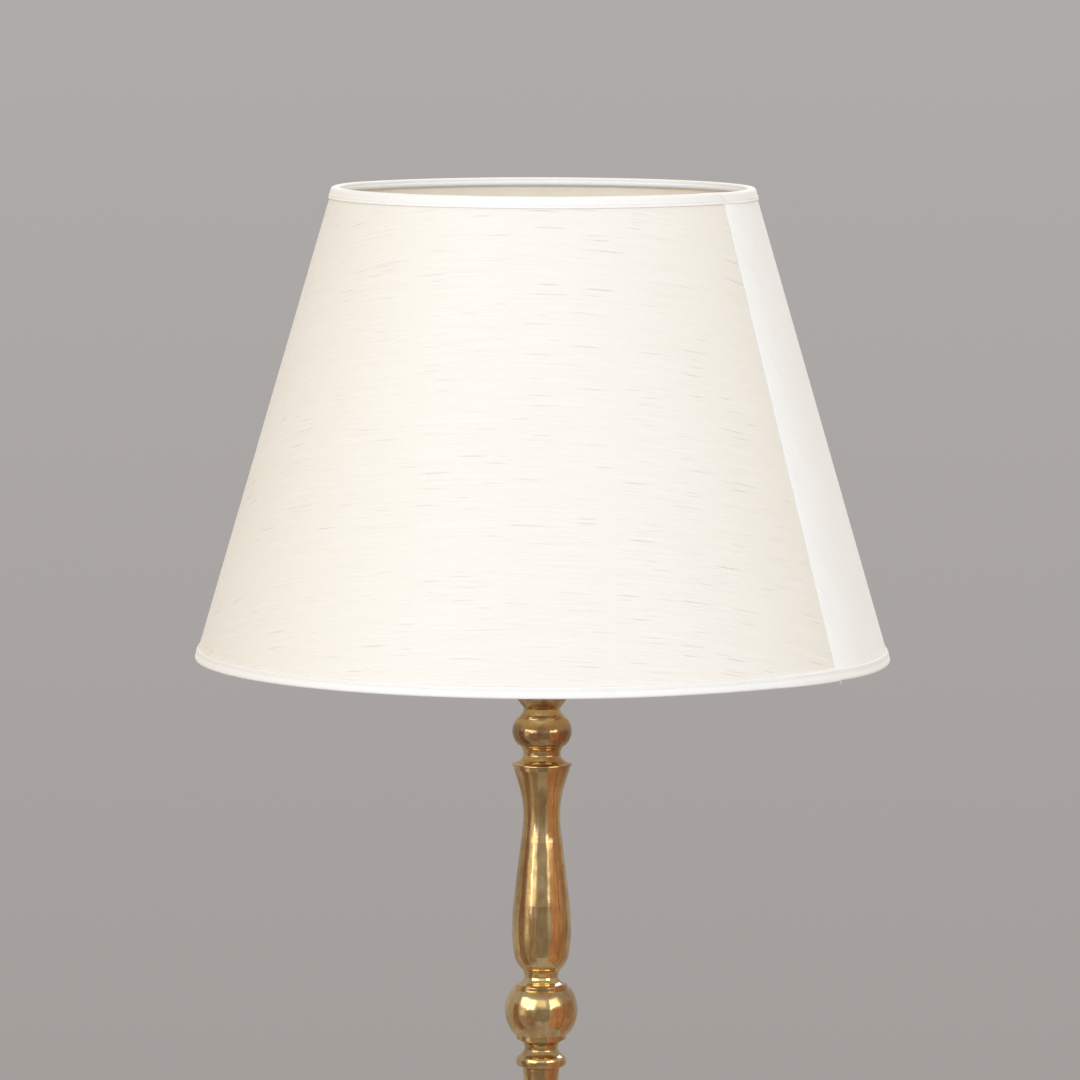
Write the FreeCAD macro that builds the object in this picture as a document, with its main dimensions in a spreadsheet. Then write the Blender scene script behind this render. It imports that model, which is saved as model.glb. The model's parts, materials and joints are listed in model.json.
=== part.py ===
"""Column floor lamp with a turned brass column, a weighted round foot and a conical silk shade on a harp.

Millimetres. +Z is up, the origin is on the floor at the centre of the foot, and -Y is the front.
"""

import FreeCAD, Part
import math
import os
import Sketcher
from FreeCAD import Placement, Rotation, Vector

doc = FreeCAD.newDocument("column_floor_lamp")
sheet = doc.addObject("Spreadsheet::Sheet", "Sizes")
parts = {}

DRIVING = {
    "shade_top": 1500.0,           # height of the shade's upper edge above the floor
    "shade_height": 340.0,
    "lining_bottom_radius": 247.9,  # inside of the shade at its lower and upper edges
    "lining_top_radius": 149.4,
    "shade_slope": 0.2897,         # change of the shade's radius with height
    "hem_inset": 1.0,              # the sheets stop this far inside the bound edges
    "lining_thickness": 0.5,
    "fabric_thickness": 0.6,
    "lap_angle": 5.5,              # how far the front sheet runs on under the back sheet
    "hem_ring_wire": 1.8,          # wire radii
    "harp_wire": 1.9,
    "tube_radius": 5.0,
    "tube_bore": 3.5,
    "bore_clearance": 0.2,
    "running_clearance": 0.08,
    "base_height": 66.0,
    "felt_thickness": 2.5,
    "spindle_radius": 2.0,
    "bush_height": 10.0,
    "bush_bore": 3.2,
    "nut_radius": 9.8,             # across the corners of a hexagon nut, halved
    "nut_height": 8.0,
}

# Each turned piece's outline is a list of (radius, height, arc). The arc is the angle turned through on the way
# from the point before: positive where it swells outwards, negative where it is hollow, 0 for a straight line.
BEAD = [(16.0, 0, 0), (16.0, 0.8, 0), (17.4, 0.8, 0), (17.4, 20.7, 91), (16.0, 20.7, 0), (16.0, 21.5, 0)]
DISC = [(13.3, 0, 0), (13.3, 1.4, 0), (17.2, 2.9, 0), (17.2, 9.9, 75), (12.1, 15.2, -45), (12.1, 17.0, -14),
        (15.6, 21.5, -45)]
BALL = [(15.6, 0, 0), (15.6, 1.2, 0), (18.2, 1.2, 0), (18.2, 4.2, 0), (19.9, 4.8, 0), (21.35, 38.0, 77.6),
        (19.2, 38.0, 0), (19.2, 40.2, 0)]
COLUMN = {  # from the foot upwards
    "foot_vase": [(38.0, 0, 0), (38.0, 3.5, 0), (33.0, 6.5, -50), (31.0, 13.5, 60), (13.6, 92.0, -38),
                  (16.0, 122.5, -12)],
    "shaft_bead": BEAD,
    "shaft": [(16.6, 0, 0), (16.6, 1.6, 0), (13.8, 6.5, -60), (18.0, 36.0, 20), (18.0, 50.0, 4),
              (12.5, 330.0, 0), (13.3, 373.3, -5)],
    "lower_disc": DISC,
    "lower_ball": BALL,
    "middle_baluster": [(18.0, 0, 0), (18.0, 1.2, 0), (12.1, 6.5, -75), (13.7, 12.0, -25), (20.6, 26.0, 38),
                        (22.0, 46.0, 10), (21.2, 70.0, 5), (14.2, 165.0, 0), (12.6, 190.0, -10),
                        (13.3, 214.4, -8)],
    "ball_disc": DISC,
    "column_ball": BALL,
    "upper_baluster": [(18.0, 0, 0), (18.0, 1.2, 0), (12.1, 6.5, -75), (13.7, 11.5, -25), (20.0, 23.0, 38),
                       (21.5, 40.2, 10), (20.6, 60.3, 5), (15.0, 106.2, 0), (13.4, 124.8, -9),
                       (14.6, 137.7, -11), (18.3, 152.1, -9), (20.4, 158.2, 0), (20.4, 160.7, 0)],
    "flare_collar": [(21.5, 0, 0), (21.5, 1.6, 40), (13.7, 7.6, -70), (13.7, 10.4, -20), (16.0, 14.4, -30)],
    "neck_bead": BEAD,
    "top_cup": [(16.0, 0, 0), (16.0, 0.6, 0), (13.1, 5.7, -45), (17.3, 11.5, 0), (21.2, 22.0, 40),
                (21.2, 24.3, 0), (17.0, 24.3, 0), (17.0, 14.3, 0)],
}
# Long and wide pieces are hollow between two lips that centre them on the tube: (cavity radius, lip height).
CAVITY = {"foot_vase": (10.0, 8.0), "shaft": (9.5, 10.0), "middle_baluster": (9.0, 8.0),
          "upper_baluster": (9.0, 8.0), "column_ball": (12.0, 6.0), "lower_ball": (12.0, 6.0)}

BASE_TOP = [(140.0, 0, 0), (140.0, 15.0, 0), (137.0, 18.0, 90), (128.0, 18.0, 0), (122.0, 23.0, -80),
            (118.0, 26.0, 60), (74.0, 36.0, 20), (68.0, 41.0, -70), (64.0, 45.0, 60), (44.0, 54.0, 15),
            (40.0, 64.0, -50), (5.2, 64.0, 0)]
RIM_RADIUS = 140.0
BASE_WALL = 1.6
BASE_LIFT = 2.0         # the spun shell's rim stays this far above the floor, so that the felt carries the lamp
WASHER_HEIGHT = 2.0
RECESS_TOP = 30.0       # ceiling of the recess under the weight that holds the washer and nut
WEIGHT = [(20.0, 0, 0), (110.0, 0, 0), (110.0, 9.5, 0), (60.0, 21.5, 0), (28.0, 33.5, 0), (28.0, 61.9, 0),
          (5.2, 61.9, 0), (5.2, 27.5, 0), (20.0, 27.5, 0)]
SLOT_WIDTH, SLOT_LENGTH, SLOT_DEPTH = 9.0, 100.0, 10.0
SLOT_START = 15.0
WASHER = [(14.0, 0, 0), (14.0, WASHER_HEIGHT, 0)]
FELT = [(136.0, 0, 0), (136.0, 2.5, 0), (0, 2.5, 0), (0, 0, 0)]
BUSH_FLANGE = 6.5
BUSH_SLEEVE = 4.4
BUSH_PLAY = 0.1
BUSH_REACH = 20.0       # length of the tools that bore the rim and the bush
# The bush's flange, lock ring and sleeve: (radius, where it starts inwards from the rim, length).
BUSH_SPANS = {"bush_outer": (BUSH_FLANGE, 0.0, 2.0), "bush_ring": (BUSH_FLANGE, 4.0, 2.2),
              "bush_sleeve": (BUSH_SLEEVE, 6.0, 7.0)}

CUP_FLOOR = 10.0        # depth of the top cup's recess
SADDLE_LIFT = 8.0       # from the column's top to the harp saddle
TUBE_FOOT = 17.0
TUBE_ABOVE = 18.0       # the tube stands this far above the column, into the holder's cap

HOLDER_CAP = [(8.0, 0, 0), (8.0, 7.0, 0), (18.6, 17.0, 50), (18.6, 26.0, 0), (17.8, 26.0, 0), (17.8, 17.6, 0),
              (7.2, 8.0, -50), (5.2, 8.0, 0), (5.2, 0, 0)]
HOLDER_SHELL = [(17.7, 0, 0), (17.7, 42.0, 0), (18.3, 43.0, 0), (17.7, 44.0, 0), (17.0, 44.0, 0), (17.0, 0, 0)]
SLEEVE_LINER = [(16.9, 0, 0), (16.9, 37.0, 0), (16.2, 37.0, 0), (16.2, 0, 0)]
HOLDER_CORE = [(15.8, 0, 0), (15.8, 18.0, 0), (0, 18.0, 0), (0, 0, 0)]
SCREW_SHELL = [(14.0, 0, 0), (14.0, 19.0, 0), (13.4, 19.0, 0), (13.4, 0, 0)]
CENTRE_CONTACT = [(4.0, 0, 0), (4.0, 1.4, 60), (0, 1.4, 0), (0, 0, 0)]
CORE_LIFT = 26.0        # heights above the harp saddle
SHELL_LIFT = 19.0
SPINDLE_LIFT = 33.0
BULB_LIFT = 46.0
TERMINAL_SPREAD = 9.0
BULB_CAP = [(0, 0, 0), (4.5, 0, 0), (4.5, 1.5, 0), (9.5, 3.5, 0), (13.1, 6.0, 0), (13.1, 26.0, 0), (0, 26.0, 0)]
BULB_GLASS = [(12.9, 0, 0), (13.4, 6.0, 0), (22.5, 34.16, -40), (1.0, 84.0, 129.5), (0, 84.0, 0), (0, 83.2, 0),
              (1.0, 83.2, 0), (21.9, 34.69, -129.5), (12.6, 6.2, 40), (12.1, 0, 0)]
KEY_GAP = 5.0           # from the holder's shell to the key
KEY_SIZE = (2.8, 12.0, 13.0)  # thickness, length along the spindle and height
SPINDLE_END = 5.0       # the spindle's inner end stays this far in front of the axis
KEY_ROUNDING = 1.2
TERMINAL_SHANK, TERMINAL_HEAD = (1.5, 8.0), (3.0, 1.6)      # radius and length
TERMINAL_PLAY = 0.05
SPINDLE_WAY = 20.0      # the spindle's holes start this far in front of the axis
SPINDLE_HOLE = 16.0

SADDLE_HEIGHT, SADDLE_DEPTH = 1.6, 15.0
SPACER = [(7.5, 0, 0), (7.5, 10.0, 0)]      # between the column's nut and the saddle
POST_AT = 33.2
POST_SIZE = (1.6, 3.2, 20.0)
HARP_LEG = 37.1         # half the distance between the harp's legs
HARP_TOP = 287.4        # height of the wire's top run above the saddle's upper face
# The right half of the harp's wire, from its foot to its top run, as (across, height above the saddle).
HARP_HALF = [(HARP_LEG, 2.0), (HARP_LEG, 58.0), (62.0, 118.0), (62.0, 232.0), (30.0, HARP_TOP)]
HARP_BENDS = [60.0, 60.0, 60.0, 18.0]
STUD = [(7.0, 0, 0), (7.0, 5.0, 0), (3.0, 5.0, 0), (3.0, 23.0, 0), (0, 23.0, 0), (0, 0, 0)]
SLEEVE = [(4.3, 0, 0), (4.3, 22.0, 0), (3.5, 22.0, 0), (3.5, 0, 0)]
SLEEVE_AT = 36.0
SLEEVE_LIFT = 0.4
HUB = [(11.0, 0, 0), (11.0, 2.0, 0), (3.08, 2.0, 0), (3.08, 0, 0)]
HUB_LIFT = 5.1          # from the stud's foot to the hub
HUB_EDGE = 10.4
ARM_AT = 149.05         # the spider's arms rise to the top ring at this distance from the axis
ARM_RISE = 48.0
ARM_BEND = 14.0
FINIAL_GAP = 0.1
FINIAL = [(6.5, 0, 0), (6.5, 2.0, 0), (4.6, 5.0, -60), (4.6, 8.0, -20), (8.2, 16.0, 50), (8.2, 20.0, 20),
          (4.0, 28.0, 50), (5.4, 31.5, -60), (1.0, 38.0, 90), (0, 38.0, 0), (0, 16.5, 0), (3.08, 16.5, 0),
          (3.08, 0, 0)]

SEAM_START = -33.0      # direction, from +X, in which the back sheet's first edge lies
HALF_TURN = 180.0
LINING_GAP = 0.3        # angle left between one lining's end and the next
# Each layer of the shade: formulas for its inner and outer distance from the lining's inside.
LAYERS = {"front_lining": ("0", "Sizes.lining_thickness"),
          "front_sheet": ("Sizes.lining_thickness", "Sizes.lining_thickness + Sizes.fabric_thickness"),
          "back_lining": ("Sizes.fabric_thickness", "Sizes.fabric_thickness + 1.1 * Sizes.lining_thickness"),
          "back_sheet": ("2 * Sizes.fabric_thickness", "3 * Sizes.fabric_thickness")}
HEM_OUT = (2.6, 1.9)    # the bound edge's outer wall, outside and inside, outwards from the lining's inside
HEM_IN = (-4.6, -3.95)
HEM_FOLD = 0.8
HEM_HEIGHT = 8.0
HEM_BACK = 6.0
RING_IN = 1.95          # the hem ring's centre, inwards from the lining
RING_UP = 2.75


def size(name):
    """The nominal value of a driving dimension."""
    return DRIVING[name]


def fill_sheet():
    """Writes the driving dimensions to the sheet, one to a row, each with its alias."""
    for row, (alias, value) in enumerate(sorted(DRIVING.items()), start=1):
        sheet.set("A%d" % row, alias.replace("_", " "))
        sheet.set("B%d" % row, "%g" % value)
        sheet.setAlias("B%d" % row, alias)
    doc.recompute()


def keep(name, piece):
    """Labels a finished sub-part and lists it for writing."""
    piece.Label = name
    parts[name] = piece
    return piece


def plane(body, role):
    """One of the body's own origin planes."""
    return [feature for feature in body.Origin.OriginFeatures if feature.Role == role][0]


def new_sketch(body, name, role):
    """A sketch in the body, on one of its origin planes."""
    sketch = body.newObject("Sketcher::SketchObject", name)
    sketch.AttachmentSupport = [(plane(body, role), "")]
    sketch.MapMode = "FlatFace"
    return sketch


def arc_between(start, end, turn):
    """An arc from start to end that turns through an angle, swelling to the right of its way if positive."""
    chord = end - start
    sagitta = chord.Length / 2 * math.tan(math.radians(turn) / 4)
    side = Vector(chord.y, -chord.x, 0).normalize()
    return Part.Arc(start, start + chord / 2 + side * sagitta, end)


def pin_down(sketch, geometry, vertex, point, across, up):
    """Fixes one vertex at its driven distances from the sketch's two axes."""
    for axis, kind, value, formula in ((-2, "DistanceX", point.x, across), (-1, "DistanceY", point.y, up)):
        if abs(value) < 1e-9:
            sketch.addConstraint(Sketcher.Constraint("PointOnObject", geometry, vertex, axis))
            continue
        row = sketch.addConstraint(Sketcher.Constraint(kind, -1, 1, geometry, vertex, value))
        sketch.setExpression("Constraints[%d]" % row, formula)


def draw_outline(sketch, outline, radius_alias, length_alias):
    """Draws a closed outline whose points are shares of the piece's driving radius and length."""
    points = [Vector(radius, height, 0) for radius, height, _ in outline]
    edges = []
    for index, (_, _, turn) in enumerate(outline):
        start, end = points[index - 1], points[index]
        edge = arc_between(start, end, turn) if turn else Part.LineSegment(start, end)
        edges.append(sketch.addGeometry(edge, False))
        if turn:
            sketch.addConstraint(Sketcher.Constraint("Angle", edges[-1], math.radians(abs(turn))))

    def vertex_at(geometry, point):
        return 1 if sketch.getPoint(geometry, 1).distanceToPoint(point) < 1e-5 else 2

    for index, point in enumerate(points):
        arriving, leaving = edges[index], edges[(index + 1) % len(edges)]
        here, there = vertex_at(arriving, point), vertex_at(leaving, point)
        sketch.addConstraint(Sketcher.Constraint("Coincident", arriving, here, leaving, there))
        across = "Sizes.%s * %.8f" % (radius_alias, point.x / size(radius_alias))
        up = "Sizes.%s * %.8f" % (length_alias, point.y / size(length_alias))
        pin_down(sketch, arriving, here, point, across, up)


def turned(name, outline, foot, bore=None):
    """A piece turned about +Z. Its outline closes along its bore, and foot is a formula for its lowest point."""
    radius_alias, length_alias = name + "_radius", name + "_length"
    body = doc.addObject("PartDesign::Body", name + "_body")
    sketch = new_sketch(body, name + "_outline", "XZ_Plane")
    closed = list(outline)
    if bore is not None:
        top = closed[-1][1]
        if name in CAVITY:
            wide, lip = CAVITY[name]
            closed += [(bore, top, 0), (bore, top - lip, 0), (wide, top - lip, 0), (wide, lip, 0),
                       (bore, lip, 0)]
        else:
            closed.append((bore, top, 0))
        closed.append((bore, 0, 0))
    draw_outline(sketch, closed, radius_alias, length_alias)
    turn = body.newObject("PartDesign::Revolution", name + "_turning")
    turn.Profile = sketch
    turn.ReferenceAxis = (sketch, ["V_Axis"])
    turn.Angle = 360.0
    sketch.Visibility = False
    body.Tip = turn
    body.setExpression("Placement.Base.z", foot)
    return keep(name, body)


def note_size(name, outline):
    """Adds the driving radius and length of a turned piece to the sheet's rows."""
    DRIVING[name + "_radius"] = max(point[0] for point in outline)
    DRIVING[name + "_length"] = max(point[1] for point in outline)


def primitive(kind, name, sizes, place=None, at_height=None):
    """A Part primitive with its sizes bound to formulas."""
    shape = doc.addObject("Part::" + kind, name)
    if place:
        shape.Placement = place
    for prop, formula in sizes.items():
        if isinstance(formula, str):
            shape.setExpression(prop, formula)
        else:
            setattr(shape, prop, formula)
    if at_height:
        shape.setExpression("Placement.Base.z", at_height)
    return shape


def cut(name, base, *tools):
    """The base with each tool taken out of it, in turn."""
    for index, tool in enumerate(tools):
        result = doc.addObject("Part::Cut", "%s_cut_%d" % (name, index))
        result.Base, result.Tool = base, tool
        base = result
    return base


def fuse(name, *pieces):
    """The pieces joined into one."""
    result = doc.addObject("Part::MultiFuse", name + "_fused")
    result.Shapes = list(pieces)
    return result


def hexagon_nut(name, foot):
    """A hexagon nut on the centre tube."""
    blank = primitive("Prism", name + "_blank",
                      {"Polygon": 6, "Circumradius": "Sizes.nut_radius", "Height": "Sizes.nut_height"},
                      at_height=foot)
    hole = primitive("Cylinder", name + "_thread",
                     {"Radius": "Sizes.tube_radius + Sizes.bore_clearance", "Height": "Sizes.nut_height"},
                     at_height=foot)
    return keep(name, cut(name, blank, hole))


def bent_wire(name, route, bends, wire_alias):
    """A round wire along a route of (x, z) points with rounded corners; the route's first run is upright."""
    body = doc.addObject("PartDesign::Body", name + "_body")
    spine = new_sketch(body, name + "_spine", "XZ_Plane")
    points = [Vector(across, up, 0) for across, up in route]
    start = points[0]
    for index, radius in enumerate(bends, start=1):
        corner = points[index]
        back = (points[index - 1] - corner).normalize()
        ahead = (points[index + 1] - corner).normalize()
        half = back.getAngle(ahead) / 2
        reach = radius / math.tan(half)
        entry, leave = corner + back * reach, corner + ahead * reach
        middle = corner + (back + ahead).normalize() * (radius / math.sin(half) - radius)
        spine.addGeometry(Part.LineSegment(start, entry), False)
        spine.addGeometry(Part.Arc(entry, middle, leave), False)
        start = leave
    spine.addGeometry(Part.LineSegment(start, points[-1]), False)
    section = new_sketch(body, name + "_section", "XY_Plane")
    section.AttachmentOffset = Placement(Vector(0, 0, route[0][1]), Rotation())
    section.addGeometry(Part.Circle(Vector(route[0][0], 0, 0), Vector(0, 0, 1), size(wire_alias)), False)
    row = section.addConstraint(Sketcher.Constraint("Radius", 0, size(wire_alias)))
    section.setExpression("Constraints[%d]" % row, "Sizes." + wire_alias)
    section.addConstraint(Sketcher.Constraint("PointOnObject", 0, 3, -1))
    section.addConstraint(Sketcher.Constraint("DistanceX", -1, 1, 0, 3, route[0][0]))
    pipe = body.newObject("PartDesign::AdditivePipe", name + "_pipe")
    pipe.Profile = section
    pipe.Spine = (spine, ["Edge%d" % (edge + 1) for edge in range(2 * len(bends) + 1)])
    body.Tip = pipe
    return keep(name, body)


def build_column():
    """The turned brass pieces, stacked on one another and clamped on the centre tube."""
    bore = size("tube_radius") + size("bore_clearance")
    height = "Sizes.base_height"
    for name, outline in COLUMN.items():
        turned(name, outline, height, bore)
        height += " + Sizes.%s_length" % name
    return height


def build_tube(column_top):
    """The centre tube that ties the column together, and the nut that tightens it in the top cup."""
    length = column_top + " + %g" % (TUBE_ABOVE - TUBE_FOOT)
    outside = primitive("Cylinder", "tube_outside", {"Radius": "Sizes.tube_radius", "Height": length},
                        Placement(Vector(0, 0, TUBE_FOOT), Rotation()))
    inside = primitive("Cylinder", "tube_inside", {"Radius": "Sizes.tube_bore", "Height": length},
                       Placement(Vector(0, 0, TUBE_FOOT), Rotation()))
    keep("centre_tube", cut("centre_tube", outside, inside))
    hexagon_nut("column_nut", column_top + " - %g" % CUP_FLOOR)


def along_y(across, start, height):
    """Turns a primitive that stands along +Z so that it points along +Y from the given place."""
    return Placement(Vector(across, start, height), Rotation(Vector(1, 0, 0), -90))


def build_base():
    """The spun shell, its iron weight, felt, washer and nut, and the bush that a lead would come in through."""
    shell = base_shell()
    bush_hole = primitive("Cylinder", "bush_hole", {"Radius": BUSH_SLEEVE + BUSH_PLAY, "Height": BUSH_REACH},
                          along_y(0, RIM_RADIUS - BUSH_REACH / 2, 0), "Sizes.bush_height")
    keep("base_shell", cut("base_shell", shell, bush_hole))
    solid = turned("base_weight", WEIGHT, "Sizes.felt_thickness")
    slot = primitive("Box", "lead_slot", {"Length": SLOT_WIDTH, "Width": SLOT_LENGTH, "Height": SLOT_DEPTH},
                     Placement(Vector(-SLOT_WIDTH / 2, SLOT_START, 0), Rotation()), "Sizes.felt_thickness")
    solid.Label = "base_weight_blank"
    keep("base_weight", cut("base_weight", solid, slot))
    turned("base_felt", FELT, "0 mm")
    bore = size("tube_radius") + size("bore_clearance")
    turned("base_washer", WASHER, "%g mm" % (RECESS_TOP - WASHER_HEIGHT), bore)
    hexagon_nut("base_nut", "%g - Sizes.nut_height" % (RECESS_TOP - WASHER_HEIGHT))
    build_bush()


def base_shell():
    """The shell's outline goes up its outside and comes back one wall thickness inside it."""
    inside = []
    for index in range(len(BASE_TOP) - 1, 0, -1):
        radius, height, _ = BASE_TOP[index]
        turn = BASE_TOP[index + 1][2] if index + 1 < len(BASE_TOP) else 0
        shift = BASE_WALL if index < len(BASE_TOP) - 1 else 0
        inside.append((radius - shift, height - BASE_WALL, -turn))
    inside.append((RIM_RADIUS - BASE_WALL, 0, -BASE_TOP[1][2]))
    shell = turned("base_shell", BASE_TOP + inside, "%g mm" % BASE_LIFT)
    shell.Label = "base_shell_spun"
    return shell


def build_bush():
    """A flanged cable bush in the rear of the rim, with its lock ring inside the wall."""
    solids = []
    for name, (radius, inwards, length) in BUSH_SPANS.items():
        solids.append(primitive("Cylinder", name, {"Radius": radius, "Height": length},
                                along_y(0, RIM_RADIUS - inwards, 0), "Sizes.bush_height"))
    bore = primitive("Cylinder", "bush_bore_tool", {"Radius": "Sizes.bush_bore", "Height": BUSH_REACH},
                     along_y(0, RIM_RADIUS - BUSH_REACH / 2, 0), "Sizes.bush_height")
    keep("cord_bush", cut("cord_bush", fuse("cord_bush", *solids), bore))


def above_saddle(column_top, lift):
    """A formula for a height above the harp saddle, whether the lift is a number or a formula."""
    return column_top + " + %g + %s" % (SADDLE_LIFT + SADDLE_HEIGHT, lift)


def radial_hole(name, column_top, radius):
    """A hole through the front of the lamp holder for the switch spindle."""
    return primitive("Cylinder", name, {"Radius": radius, "Height": SPINDLE_HOLE},
                     along_y(0, -SPINDLE_WAY, 0), above_saddle(column_top, SPINDLE_LIFT))


def build_holder(column_top):
    """The lamp holder: cap, shell, liner, core, screw shell, contact and terminals, and its turn switch."""
    turned("holder_cap", HOLDER_CAP, above_saddle(column_top, 0))
    hole = "Sizes.spindle_radius + Sizes.running_clearance"
    drilled = {"holder_shell": (HOLDER_SHELL, SHELL_LIFT), "insulating_liner": (SLEEVE_LINER, CORE_LIFT),
               "holder_core": (HOLDER_CORE, CORE_LIFT)}
    for name, (outline, lift) in drilled.items():
        solid = turned(name, outline, above_saddle(column_top, lift))
        solid.Label = name + "_blank"
        tools = [radial_hole(name + "_hole", column_top, hole)]
        if name == "holder_core":
            tools += [terminal(name, side, TERMINAL_PLAY, column_top) for side in (-1, 1)]
        keep(name, cut(name, solid, *tools))
    core_top = "%g + Sizes.holder_core_length" % CORE_LIFT
    turned("screw_shell", SCREW_SHELL, above_saddle(column_top, core_top))
    turned("centre_contact", CENTRE_CONTACT, above_saddle(column_top, core_top))
    screws = [terminal("screw", side, 0, column_top) for side in (-1, 1)]
    head_radius, head_height = TERMINAL_HEAD
    heads = [primitive("Cylinder", "terminal_head_%d" % side, {"Radius": head_radius, "Height": head_height},
                       Placement(Vector(side * TERMINAL_SPREAD, 0, 0), Rotation()),
                       above_saddle(column_top, CORE_LIFT - head_height)) for side in (-1, 1)]
    keep("terminal_screws", fuse("terminal_screws", *screws, *heads))
    build_switch(column_top)
    turned("bulb_cap", BULB_CAP, above_saddle(column_top, BULB_LIFT))
    turned("bulb_glass", BULB_GLASS, above_saddle(column_top, BULB_LIFT) + " + Sizes.bulb_cap_length")


def terminal(name, side, clearance, column_top):
    """A terminal screw's shank, or with a clearance its hole, in the underside of the holder's core."""
    radius, length = TERMINAL_SHANK
    return primitive("Cylinder", "%s_terminal_%d" % (name, side),
                     {"Radius": radius + clearance, "Height": length},
                     Placement(Vector(side * TERMINAL_SPREAD, 0, 0), Rotation()),
                     above_saddle(column_top, CORE_LIFT))


def build_switch(column_top):
    """The switch's spindle runs out to the front, and the flat key is pressed on its end."""
    key_inner = -size("holder_shell_radius") - KEY_GAP
    height = above_saddle(column_top, SPINDLE_LIFT)
    spindle = primitive("Cylinder", "spindle_rod",
                        {"Radius": "Sizes.spindle_radius", "Height": -key_inner - SPINDLE_END},
                        along_y(0, key_inner, 0), height)
    keep("switch_spindle", spindle)
    thick, length, tall = KEY_SIZE
    blade = primitive("Box", "key_blade", {"Length": thick, "Width": length, "Height": tall},
                      Placement(Vector(-thick / 2, key_inner - length, 0), Rotation()),
                      height + " - %g" % (tall / 2))
    rounded = doc.addObject("Part::Fillet", "key_rounded")
    rounded.Base = blade
    doc.recompute()
    rounded.Edges = [(edge, KEY_ROUNDING, KEY_ROUNDING) for edge in range(1, len(blade.Shape.Edges) + 1)]
    blade.Visibility = False
    keep("switch_key", rounded)


def build_harp(column_top):
    """The saddle with its two posts, the sprung wire bow, its stud, and the sleeves that lock the legs."""
    top = above_saddle(column_top, 0)
    foot = top + " - %g" % SADDLE_HEIGHT
    reach = POST_AT + POST_SIZE[0]
    plate = primitive("Box", "saddle_plate",
                      {"Length": 2 * reach, "Width": SADDLE_DEPTH, "Height": SADDLE_HEIGHT},
                      Placement(Vector(-reach, -SADDLE_DEPTH / 2, 0), Rotation()), foot)
    posts = [primitive("Box", "saddle_post_%d" % side,
                       {"Length": POST_SIZE[0], "Width": POST_SIZE[1], "Height": POST_SIZE[2]},
                       Placement(Vector(left, -POST_SIZE[1] / 2, 0), Rotation()), top)
             for side, left in ((-1, -reach), (1, POST_AT))]
    hole = primitive("Cylinder", "saddle_hole",
                     {"Radius": "Sizes.tube_radius + Sizes.bore_clearance", "Height": 2 * SADDLE_HEIGHT},
                     at_height=foot + " - %g" % (SADDLE_HEIGHT / 2))
    keep("harp_saddle", cut("harp_saddle", fuse("harp_saddle", plate, *posts), hole))
    bore = size("tube_radius") + size("bore_clearance")
    turned("saddle_collar", SPACER, column_top + " + %g - Sizes.saddle_collar_length" % SADDLE_LIFT, bore)
    route = [(-across, up) for across, up in HARP_HALF] + HARP_HALF[::-1]
    wire = bent_wire("harp", route, HARP_BENDS + HARP_BENDS[::-1], "harp_wire")
    wire.setExpression("Placement.Base.z", top)
    stud_foot = top + " + %g + Sizes.harp_wire" % HARP_TOP
    turned("harp_stud", STUD, stud_foot)
    for side, name in ((-1, "harp_sleeve_left"), (1, "harp_sleeve_right")):
        sleeve = turned(name, SLEEVE, top + " + %g" % SLEEVE_LIFT)
        sleeve.Placement.Base.x = side * SLEEVE_AT
    hub_foot = stud_foot + " + %g" % HUB_LIFT
    turned("spider_hub", HUB, hub_foot)
    turned("finial", FINIAL, hub_foot + " + Sizes.spider_hub_length + %g" % FINIAL_GAP)
    return hub_foot


def build_spider(hub_foot):
    """Two bent arms, welded to the hub and to the top ring."""
    for side, name in ((-1, "spider_arm_left"), (1, "spider_arm_right")):
        route = [(side * ARM_AT, ARM_RISE), (side * ARM_AT, 0), (side * HUB_EDGE, 0)]
        arm = bent_wire(name, route, [ARM_BEND], "hem_ring_wire")
        arm.setExpression("Placement.Base.z", hub_foot + " + Sizes.spider_hub_length / 2")


def hem_outline(edge_radius, upward):
    """The bound edge in section: a folded channel round the sheets' edge and the ring wire."""
    slope = size("shade_slope")

    def at(out, along):
        if upward:
            return (edge_radius + out - slope * along, along, 0)
        return (edge_radius + out + slope * along, HEM_HEIGHT - along, 0)

    return [at(HEM_OUT[0], 0), at(HEM_OUT[0], HEM_HEIGHT), at(HEM_OUT[1], HEM_HEIGHT), at(HEM_OUT[1], HEM_FOLD),
            at(HEM_IN[1], HEM_FOLD), at(HEM_IN[1], HEM_BACK), at(HEM_IN[0], HEM_BACK), at(HEM_IN[0], 0)]


def shade_layer(name, start, sweep):
    """Part of a conical layer of the shade, from one radial distance to another."""
    inner, outer = LAYERS[name]
    low = "Sizes.lining_bottom_radius - Sizes.shade_slope * Sizes.hem_inset + %s"
    high = "Sizes.lining_top_radius + Sizes.shade_slope * Sizes.hem_inset + %s"
    cones = [primitive("Cone", "%s_%s" % (name, side),
                       {"Radius1": low % out, "Radius2": high % out, "Angle": sweep,
                        "Height": "Sizes.shade_height - 2 * Sizes.hem_inset"},
                       Placement(Vector(0, 0, 0), Rotation(Vector(0, 0, 1), start)),
                       "Sizes.shade_top - Sizes.shade_height + Sizes.hem_inset")
             for side, out in (("outside", outer), ("inside", inner))]
    return keep(name, cut(name, *cones))


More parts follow.
